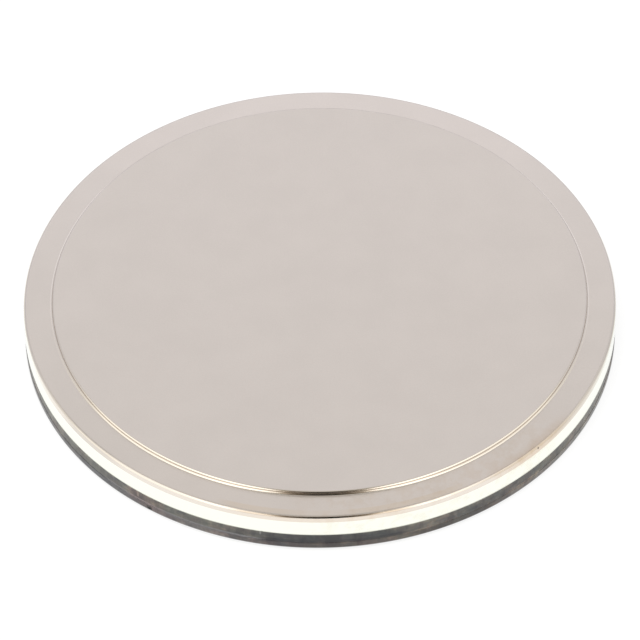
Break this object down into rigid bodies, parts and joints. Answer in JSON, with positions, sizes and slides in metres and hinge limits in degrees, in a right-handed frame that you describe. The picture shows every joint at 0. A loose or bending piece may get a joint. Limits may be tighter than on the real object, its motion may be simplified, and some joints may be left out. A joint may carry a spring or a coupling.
{
  "type": "press-pack rectifier diode",
  "caption": "Thin round press-pack rectifier diode: a nickel-plated metal cap with a raised flat contact face, on a dark insulating ring and a bottom contact disc.",
  "frame": {"origin": "centre of the bottom contact face, where the diode rests", "axes": "+Z runs along the axis of the disc, from the bottom contact face to the top one; -Y points to the picture's camera"},
  "size_m": [0.06, 0.06, 0.0055],
  "materials": {
    "nickel_plate": "satin nickel plating on copper, with a bright rim",
    "insulating_compound": "dull dark grey moulded compound, lightly smudged",
    "silver": "soft satin silver foil",
    "molybdenum": "lapped grey metal",
    "silicon": "polished dark grey",
    "silicone_rubber": "milky cast rubber",
    "white_plastic": "matte white"
  },
  "bodies": {
    "root": {"top_electrode": "nickel_plate", "insulating_ring": "insulating_compound", "bottom_electrode": "nickel_plate", "lower_silver_foil": "silver", "lower_molybdenum_disc": "molybdenum", "silicon_wafer": "silicon", "upper_molybdenum_disc": "molybdenum", "upper_silver_foil": "silver", "wafer_edge_ring": "silicone_rubber", "centring_ring": "white_plastic"}
  },
  "joints": []
}
